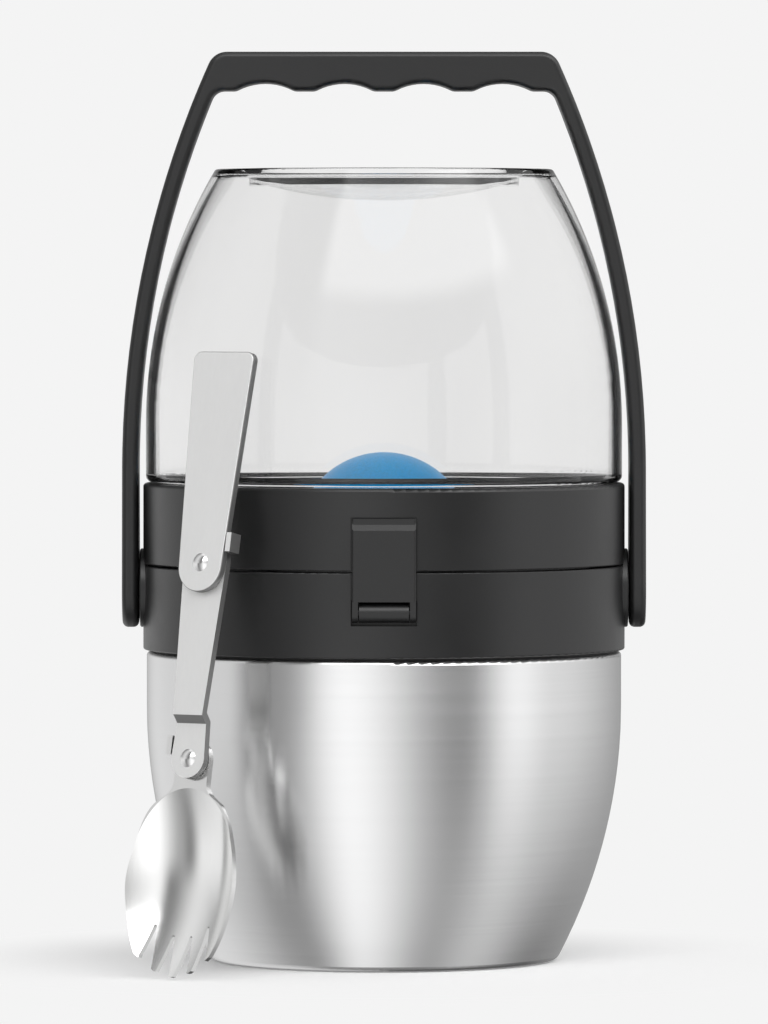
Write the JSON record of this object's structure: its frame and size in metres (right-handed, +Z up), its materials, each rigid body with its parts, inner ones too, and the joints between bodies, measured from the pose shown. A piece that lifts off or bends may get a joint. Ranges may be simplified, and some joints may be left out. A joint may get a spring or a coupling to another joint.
{
  "type": "insulated food jar",
  "caption": "Insulated food jar: steel vacuum bowl, black latched collars, clear upturned bowl over a freezer pack, swinging carry handle and a folding spork.",
  "frame": {"origin": "centre of the jar's foot, on the surface it stands on", "axes": "+Z up, -Y towards the front latch, +X to the right seen from the front"},
  "size_m": [0.1368, 0.1412, 0.2372],
  "materials": {
    "shell_steel": "satin",
    "liner_steel": "satin",
    "getter_metal": "matte",
    "black_plastic": "satin",
    "handle_plastic": "satin",
    "divider_plastic": "satin",
    "black_rubber": "matte",
    "silicone": "satin",
    "insulating_foam": "matte",
    "blue_plastic": "gloss",
    "freezer_gel": "gloss",
    "clear_plastic": "gloss",
    "pin_steel": "polished",
    "spork_steel": "polished",
    "rivet_steel": "polished"
  },
  "bodies": {
    "jar": {"outer_shell": "shell_steel", "inner_liner": "liner_steel", "base_plate": "liner_steel", "vacuum_getter": "getter_metal", "lower_collar": "black_plastic", "collar_seal": "black_rubber", "rear_latch_pin": "pin_steel", "front_latch_pin": "pin_steel", "right_pivot_pin": "black_plastic", "left_pivot_pin": "black_plastic"},
    "top_unit": {"upper_collar": "black_plastic", "divider_plate": "divider_plastic", "divider_foam": "insulating_foam", "divider_underside": "divider_plastic", "hot_seal": "silicone"},
    "freezer_pack": {"freezer_shell": "blue_plastic", "freezer_gel": "freezer_gel", "freezer_base": "blue_plastic"},
    "seal_ring": {"bowl_seal": "silicone"},
    "clear_bowl": {"top_bowl": "clear_plastic"},
    "front_latch": {"front_latch": "black_plastic"},
    "rear_latch": {"rear_latch": "black_plastic"},
    "bail": {"carry_handle": "handle_plastic"},
    "spork_foot": {"spork_bowl": "spork_steel", "lower_rivet": "rivet_steel"},
    "spork_middle": {"spork_link": "spork_steel", "upper_rivet": "rivet_steel"},
    "spork_grip": {"spork_handle": "spork_steel"}
  },
  "joints": [
    {"name": "handle_swing", "type": "hinge", "parent": "jar", "child": "bail", "pos_m": [0, 0, 0.0972], "axis": [-1, 0, 0], "range_deg": [-100, 100]},
    {"name": "top_lift", "type": "slide", "parent": "jar", "child": "top_unit", "axis": [0, 0, 1], "range_m": [0, 0.005]},
    {"name": "front_latch_hinge", "type": "hinge", "parent": "jar", "child": "front_latch", "pos_m": [0, -0.062, 0.093], "axis": [1, 0, 0], "range_deg": [0, 110]},
    {"name": "rear_latch_hinge", "type": "hinge", "parent": "jar", "child": "rear_latch", "pos_m": [0, 0.062, 0.093], "axis": [-1, 0, 0], "range_deg": [0, 110]},
    {"name": "freezer_pack_lift", "type": "slide", "parent": "top_unit", "child": "freezer_pack", "axis": [0, 0, 1], "range_m": [0, 0.05]},
    {"name": "bowl_rise", "type": "slide", "parent": "top_unit", "child": "seal_ring", "axis": [0, 0, 1], "range_m": [0, 0.004]},
    {"name": "bowl_twist", "type": "hinge", "parent": "seal_ring", "child": "clear_bowl", "pos_m": [0, 0, 0.12], "axis": [0, 0, 1], "range_deg": [0, 360]},
    {"name": "spork_lift", "type": "slide", "parent": "jar", "child": "spork_foot", "axis": [-0.2796, -0.4145, 0.866], "range_m": [0, 0.12]},
    {"name": "spork_lower_fold", "type": "hinge", "parent": "spork_foot", "child": "spork_middle", "pos_m": [-0.04891, -0.06196, 0.05561], "axis": [0.548, 0.8124, -0.1994], "range_deg": [0, 178]},
    {"name": "spork_upper_fold", "type": "hinge", "parent": "spork_middle", "child": "spork_grip", "pos_m": [-0.04581, -0.05736, 0.1054], "axis": [-0.548, -0.8124, 0.1994], "range_deg": [0, 178]}
  ],
  "couplings": [
    {"joint": "front_latch_hinge", "follows": "top_lift", "rad_per_m": 383.95},
    {"joint": "rear_latch_hinge", "follows": "top_lift", "rad_per_m": 383.95},
    {"joint": "bowl_rise", "follows": "bowl_twist", "m_per_rad": 0.00063662}
  ]
}
